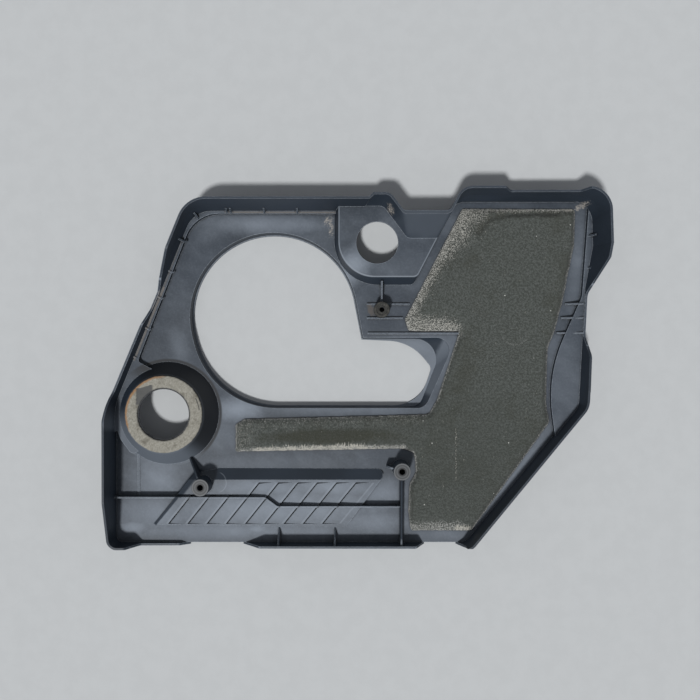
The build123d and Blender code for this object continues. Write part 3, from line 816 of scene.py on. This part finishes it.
def top_outline(node):
    """The outline of a flat node's upper face, in order, in millimetres."""
    flat = bmesh.new()
    flat.from_mesh(frame["nodes"][node].data)
    bmesh.ops.remove_doubles(flat, verts=flat.verts, dist=1e-6)
    flat.normal_update()
    top = max(vertex.co.z for vertex in flat.verts)
    beside = {}
    for edge in flat.edges:
        level = [face for face in edge.link_faces if face.normal.z > 0.9]
        if len(level) == 1 and all(top - vertex.co.z < 1e-6 for vertex in edge.verts):
            first, second = edge.verts
            beside.setdefault(first.index, []).append(second.index)
            beside.setdefault(second.index, []).append(first.index)
    flat.verts.ensure_lookup_table()
    start = min(beside)
    loop = [start, beside[start][0]]
    while loop[-1] != start:
        onward = [other for other in beside[loop[-1]] if other != loop[-2]]
        loop.append(onward[0])
    points = np.array([flat.verts[index].co[:2] for index in loop[:-1]]) / MM
    flat.free()
    return points


def evenly(points, gap):
    """A closed outline with points about one gap apart."""
    closed = np.vstack([points, points[:1]])
    lengths = np.linalg.norm(np.diff(closed, axis=0), axis=1)
    along = np.concatenate([[0], np.cumsum(lengths)])
    wanted = np.linspace(0, along[-1], int(along[-1] / gap), endpoint=False)
    return np.column_stack([np.interp(wanted, along, closed[:, axis]) for axis in (0, 1)])


# Foam pad sheet, in millimetres
FOAM_GAP = 1.9
FOAM_FRINGE = 0.5
FOAM_EDGE = 1.6
FOAM_LEAST = 0.6
FOAM_SLACK = 0.5
FOAM_PRESSED_THICKNESS = 3.0
FOAM_ROUND = 6.0
FRINGE_WIDTH = 3.0
# Rows of the sheet's grid, and how far its points keep from the outline, as shares of the gap
ROW_SHARE = 0.87
CLEAR_SHARE = 0.7
# A groove pressed into the foam near its upper edge
GROOVE_LINE = [(139, 156), (145, 168), (156, 174), (179, 177.5), (228, 178.5)]
GROOVE_DEPTH = 2.4
GROOVE_WIDTH = 4.5
GROOVE_SHADE = 8.5

# Stretches where the sheet is pressed thin and sandy: start, end, width at each end, strength
SANDY_STRIPS = [
    ((119, 184), (86, 118), 34, 15, 1.0),
    ((86, 118), (58, 60), 14, 10, 1.0),
    ((56, 51), (108, 46), 18, 13, 1.0),
    ((-136, -62), (-134, -94), 24, 20, 0.55),
    ((-130, -59), (75, -55), 14, 9, 0.45),
    ((62, -183), (131, -183), 11, 8, 0.45),
    ((121, 185), (249, 185), 8, 6, 1.0),
]
# Stretches with a wider frayed, greyish fringe
FRAYED_STRIPS = [
    ((-139, -95), (52, -90), 6.0, 5.0, 0.8),
    ((62, -184), (112, -184), 10.0, 12.0, 0.75),
]
# Torn, whitish margins
TORN_STRIPS = [
    ((-114, -95), (4, -92), 8.0, 9.4, 1.0),
    ((4, -92), (52, -91), 7.0, 5.0, 0.6),
    ((114, -181.5), (127, -182), 4.6, 4.0, 0.9),
    ((59, -150), (60, -172), 1.8, 1.6, 0.6),
    ((238, 184), (249, 184), 3.5, 4.0, 0.9),
]


def line_distance(points, line):
    """Distance of each point from a line of several stretches."""
    nearest = np.full(len(points), np.inf)
    for start, end in zip(line, line[1:]):
        nearest = np.minimum(nearest, off_line(points, start, end)[0])
    return nearest


def edge_distance(points, border):
    """Distance of each point from a closed outline."""
    return line_distance(points, np.vstack([border, border[:1]]))


def strip_mask(points, strips, full=0.35, none=1.3):
    """How far each point is inside any of the strips, from 0 to 1, fading out between two shares."""
    mask = np.zeros(len(points))
    wobble = 0.22 * ripple(points, 9.0, 2.5)
    for start, end, first_width, last_width, strength in strips:
        away, share = off_line(points, start, end)
        reach = away / (first_width + (last_width - first_width) * share) + wobble
        mask = np.maximum(mask, strength * (1 - blend_in(reach, full, none)))
    return mask


def flat_sheet(border, gap):
    """Points and faces that fill a closed outline, in staggered rows."""
    low = border.min(axis=0)
    high = border.max(axis=0)
    rows = np.arange(low[1], high[1], gap * ROW_SHARE)
    lattice = [
        (x + (row % 2) * gap / 2, y)
        for row, y in enumerate(rows)
        for x in np.arange(low[0], high[0], gap)
    ]
    lattice = np.array(lattice)
    lattice = lattice[edge_distance(lattice, border) > CLEAR_SHARE * gap]
    count = len(border)
    flat_points = [Vector(point) for point in np.vstack([border, lattice])]
    rim_edges = [(index, (index + 1) % count) for index in range(count)]
    cut = geometry.delaunay_2d_cdt(flat_points, rim_edges, [], 1, 1e-6)
    used = sorted({index for face in cut[2] for index in face})
    renumber = {old: new for new, old in enumerate(used)}
    points = np.array([cut[0][index][:] for index in used])
    return points, [[renumber[index] for index in face] for face in cut[2]]


def closed_sheet(flat, height, foot, faces):
    """Points in metres and faces of a sheet with a flat underside, from lengths in millimetres."""
    top = np.column_stack([flat, foot + height]) * MM
    under = np.column_stack([flat, np.full(len(flat), foot)]) * MM
    shift = len(flat)
    ways = {(face[i - 1], face[i]) for face in faces for i in range(len(face))}
    sides = [[b, a, a + shift, b + shift] for a, b in ways if (b, a) not in ways]
    bottom = [[index + shift for index in reversed(face)] for face in faces]
    return np.vstack([top, under]), faces + bottom + sides


def pad_height(points, margin, sandy, groove):
    """How thick the foam is at each point, in millimetres."""
    thickness = (pad_high.z - pad_low.z) / MM
    full = thickness - FOAM_SLACK + 0.25 * ripple(points, 28.0, 3.5) + 0.18 * ripple(points, 4.0, 9.5)
    thin = FOAM_PRESSED_THICKNESS + 0.5 * ripple(points, 7.0, 5.5)
    height = full + (thin - full) * sandy
    height = height - GROOVE_DEPTH * (1 - blend_in(groove, 0, GROOVE_WIDTH))
    height = FOAM_EDGE + (height - FOAM_EDGE) * blend_in(margin, -0.5, FOAM_ROUND)
    return np.clip(height, FOAM_LEAST, thickness)


def make_pad():
    """Foam sheet: full in the middle, pressed thin along its margins, with a fuzzy torn outline."""
    border = evenly(top_outline("insulation_pad"), FOAM_GAP)
    border = border + np.column_stack([ripple(border, 3.0, seed) for seed in (1.5, 7.5)]) * FOAM_FRINGE
    points, faces = flat_sheet(border, FOAM_GAP)
    margin = edge_distance(points, border)
    sandy = strip_mask(points, SANDY_STRIPS, 0.1, 1.75)
    # A pale fringe along the outline: frayed fibres and a painted highlight
    lit_fringe = 1 - blend_in(margin + 0.7 * ripple(points, 5.0, 11.5), 0.4, FRINGE_WIDTH)
    frayed_and_lit = np.maximum(strip_mask(points, FRAYED_STRIPS), lit_fringe)
    groove = line_distance(points, GROOVE_LINE) + 2.0 * ripple(points, 7.0, 12.5)
    height = pad_height(points, margin, sandy, groove)
    corners, shell = closed_sheet(points, height, pad_low.z / MM, faces)
    piece = new_piece("foam_pad", corners, shell, foam(), "insulation_pad")
    keep_values(piece, "pressed", np.tile(1 - blend_in(groove, 0.5, GROOVE_SHADE), 2))
    keep_values(piece, "sandy", np.tile(sandy, 2))
    keep_values(piece, "frayed_and_lit", np.tile(frayed_and_lit, 2))
    keep_values(piece, "torn", np.tile(strip_mask(points, TORN_STRIPS), 2))
    return piece


# Fibre ring, in millimetres
RING_TURNS = 480
RING_STEPS = 24
RING_FUZZ = 0.35
RING_CLEARANCE = 1.2
RING_RAGGED = 0.45
RING_SLACK = 0.25
RING_ROUND = 0.7
RING_LEAST = 0.3
# Its torn corner, from the ring's centre: the left side, the upper one with its slope, where it fades
# out to the right and below, and the thickness that is left
TEAR_LEFT = -31.0
TEAR_TOP = 29.0
TEAR_SLOPE = 0.26
TEAR_RIGHT = (-15, -9)
TEAR_LOW = (7, 13)
TEAR_REST = 1.1
# Its slit, and the middle of its rusty side
SLIT_RADIUS = 40.6
SLIT_FROM = math.radians(7)
SLIT_TO = math.radians(27)
SLIT_WIDTH = 0.8
RUST_MIDDLE = math.radians(150)


def ring_tears(flat, radius, angle):
    """How torn the ring is at each point, from 0 to 1: a corner inside and a slit near its outer edge."""
    from_left = flat[:, 0] - TEAR_LEFT
    inside = np.minimum(from_left, TEAR_TOP + TEAR_SLOPE * from_left - flat[:, 1])
    tear = blend_in(inside + 1.2 * ripple(flat, 3.0, 6.5), -0.8, 1.4)
    tear = tear * (1 - blend_in(flat[:, 0], *TEAR_RIGHT)) * blend_in(flat[:, 1], *TEAR_LOW)
    slit = 1 - blend_in(np.abs(radius - SLIT_RADIUS), 0.2, SLIT_WIDTH)
    slit = slit * (angle > SLIT_FROM) * (angle < SLIT_TO)
    return np.maximum(tear, slit)


def ring_height(flat, off_middle, torn):
    """How thick the ring is at each point, in millimetres."""
    thickness = (ring_high.z - ring_low.z) / MM
    rounding = RING_ROUND * off_middle ** 8
    height = thickness - RING_SLACK - rounding + RING_FUZZ * 0.5 * ripple(flat, 1.6, 8.5)
    height = height + RING_FUZZ * 0.5 * ripple(flat, 6.0, 1.5)
    return np.clip(height + (TEAR_REST - height) * torn, RING_LEAST, thickness)


def make_ring():
    """Flat fibre ring with a fuzzy surface, a torn corner inside and a slit near its outer edge."""
    centre = (ring_low + ring_high) / 2 / MM
    outer = (ring_high.x - ring_low.x) / 2 / MM
    inner = mounts["filler_hole"]["dims"]["r_mm"] + RING_CLEARANCE
    turns = np.linspace(0, 2 * math.pi, RING_TURNS, endpoint=False)
    steps = np.linspace(0, 1, RING_STEPS)
    angle = np.repeat(turns, RING_STEPS)
    share = np.tile(steps, RING_TURNS)
    radius = inner + (outer - inner) * share
    round_trip = np.column_stack([np.cos(angle), np.sin(angle)])
    ragged = ripple(round_trip * outer, 2.2, 4.5) * RING_RAGGED
    off_middle = np.abs(share - 0.5) * 2
    radius = radius + ragged * off_middle ** 3
    flat = round_trip * radius[:, None]
    torn = ring_tears(flat, radius, angle)
    height = ring_height(flat, off_middle, torn)
    faces = []
    for turn in range(RING_TURNS):
        here = turn * RING_STEPS
        there = (turn + 1) % RING_TURNS * RING_STEPS
        for step in range(RING_STEPS - 1):
            faces.append([here + step, here + step + 1, there + step + 1, there + step])
    corners, shell = closed_sheet(flat + centre[:2], height, ring_low.z / MM, faces)
    piece = new_piece("fibre_ring", corners, shell, fibre(), "filler_seal_ring")
    rust = np.clip(np.cos(angle - RUST_MIDDLE) * 1.3, 0, 1) * blend_in(share, 0.55, 1.0)
    keep_values(piece, "torn", np.tile(torn, 2))
    keep_values(piece, "inner", np.tile(1 - blend_in(share, 0.0, 0.12), 2))
    keep_values(piece, "rust", np.tile(rust, 2))
    return piece


# Rubber bush, in millimetres
BUSH_TURNS = 64
BUSH_SEAT = 5.65
BUSH_SEAT_TOP = 33.0
BUSH_FOOT_EDGE = 0.6
# Its waist: where it starts and ends above the foot, how deep it is and how high its flanks are
WAIST_START = 6.0
WAIST_END = 9.6
WAIST_DEPTH = 1.1
WAIST_FLANK = 0.8
# Its rim and dished top, in from the outside and down from the top
BUSH_RIM = [(0.0, 1.4), (0.4, 0.4), (1.4, 0.0), (2.6, 0.1), (3.2, 0.7)]
# The lip of its bore, out from the bore and down from the top
BORE_LIP = [(1.9, 0.8), (1.2, 0.2), (0.6, 0.3), (0.0, 1.2)]


def make_bush():
    """Turned rubber bush: rounded rim, waist groove, dished top and a countersunk bore."""
    centre = (bush_low + bush_high) / 2 / MM
    outer = (bush_high.x - bush_low.x) / 2 / MM
    bore = mounts["bush_bore"]["dims"]["r_mm"]
    foot = bush_low.z / MM
    top = bush_high.z / MM
    waist = outer - WAIST_DEPTH
    profile = [
        (BUSH_SEAT, foot),
        (outer - BUSH_FOOT_EDGE, foot),
        (outer, foot + BUSH_FOOT_EDGE),
        (outer, foot + WAIST_START),
        (waist, foot + WAIST_START + WAIST_FLANK),
        (waist, foot + WAIST_END - WAIST_FLANK),
        (outer, foot + WAIST_END),
    ]
    profile += [(outer - inward, top - down) for inward, down in BUSH_RIM]
    profile += [(bore + outward, top - down) for outward, down in BORE_LIP]
    profile += [(bore, BUSH_SEAT_TOP), (BUSH_SEAT, BUSH_SEAT_TOP)]
    points = []
    for turn in range(BUSH_TURNS):
        angle = 2 * math.pi * turn / BUSH_TURNS
        for radius, height in profile:
            x = centre.x + radius * math.cos(angle)
            y = centre.y + radius * math.sin(angle)
            points.append((x * MM, y * MM, height * MM))
    count = len(profile)
    faces = []
    for turn in range(BUSH_TURNS):
        here = turn * count
        there = (turn + 1) % BUSH_TURNS * count
        for step in range(count):
            onward = (step + 1) % count
            faces.append([here + step, there + step, there + onward, here + onward])
    piece = new_piece("turned_bush", points, faces, rubber(), "rubber_bush")
    piece.data.set_sharp_from_angle(angle=math.radians(40))
    return piece


def make_camera():
    data = bpy.data.cameras.new("camera")
    data.sensor_width = SENSOR_WIDTH
    data.lens = SENSOR_WIDTH / 2 / math.tan(VIEW_ANGLE / 2)
    camera = bpy.data.objects.new("camera", data)
    camera.location = CAMERA_PLACE
    bpy.context.scene.collection.objects.link(camera)
    bpy.context.scene.camera = camera


def make_floor():
    """Plain pale floor with a trace of unevenness in its tone."""
    paint = Shader("floor_pale")
    tone = paint.noise(FLOOR_PATCH, 5.0, 0.6)
    darker = tuple(FLOOR_DARKER * part for part in FLOOR_COLOUR[:3]) + (1.0,)
    colour = paint.mix(paint.step(tone, 0.35, 0.65), darker, FLOOR_COLOUR)
    paint.finish(colour, 0.9, paint.relief(tone, 0.2 * MM, 0.2))
    corners = [(x * FLOOR_HALF, y * FLOOR_HALF, 0.0) for x, y in ((-1, -1), (1, -1), (1, 1), (-1, 1))]
    mesh = bpy.data.meshes.new("floor")
    mesh.from_pydata(corners, [], [(0, 1, 2, 3)])
    mesh.materials.append(paint.material)
    floor = bpy.data.objects.new("floor", mesh)
    bpy.context.scene.collection.objects.link(floor)


def make_light():
    """A soft key lamp and an even pale world."""
    lamp = bpy.data.lights.new("key", "SUN")
    lamp.energy = (1 - FILL) * math.pi / KEY_TOWARDS.z
    lamp.angle = KEY_SPREAD
    key = bpy.data.objects.new("key", lamp)
    key.rotation_euler = KEY_TOWARDS.to_track_quat("Z", "Y").to_euler()
    bpy.context.scene.collection.objects.link(key)
    world = bpy.data.worlds.new("world")
    world.use_nodes = True
    tree = world.node_tree
    fill = tree.nodes["Background"]
    fill.inputs["Color"].default_value = FILL_COLOUR
    fill.inputs["Strength"].default_value = FILL
    seen = tree.nodes.new("ShaderNodeBackground")
    seen.inputs["Color"].default_value = BACKGROUND
    rays = tree.nodes.new("ShaderNodeLightPath")
    shown = rays.outputs["Is Camera Ray"]
    for name in ("Is Glossy Ray", "Is Transmission Ray"):
        either = tree.nodes.new("ShaderNodeMath")
        either.operation = "MAXIMUM"
        tree.links.new(shown, either.inputs[0])
        tree.links.new(rays.outputs[name], either.inputs[1])
        shown = either.outputs[0]
    choose = tree.nodes.new("ShaderNodeMixShader")
    tree.links.new(shown, choose.inputs[0])
    tree.links.new(fill.outputs[0], choose.inputs[1])
    tree.links.new(seen.outputs[0], choose.inputs[2])
    tree.links.new(choose.outputs[0], tree.nodes["World Output"].inputs["Surface"])
    bpy.context.scene.world = world


def dress(node, material):
    """Gives a node of the frame its finish."""
    mesh = frame["nodes"][node].data
    mesh.materials.clear()
    mesh.materials.append(material)


dress("cover_shell", plastic())
make_pad()
make_ring()
make_bush()
make_camera()
make_floor()
make_light()
bpy.context.scene.view_settings.view_transform = "Standard"
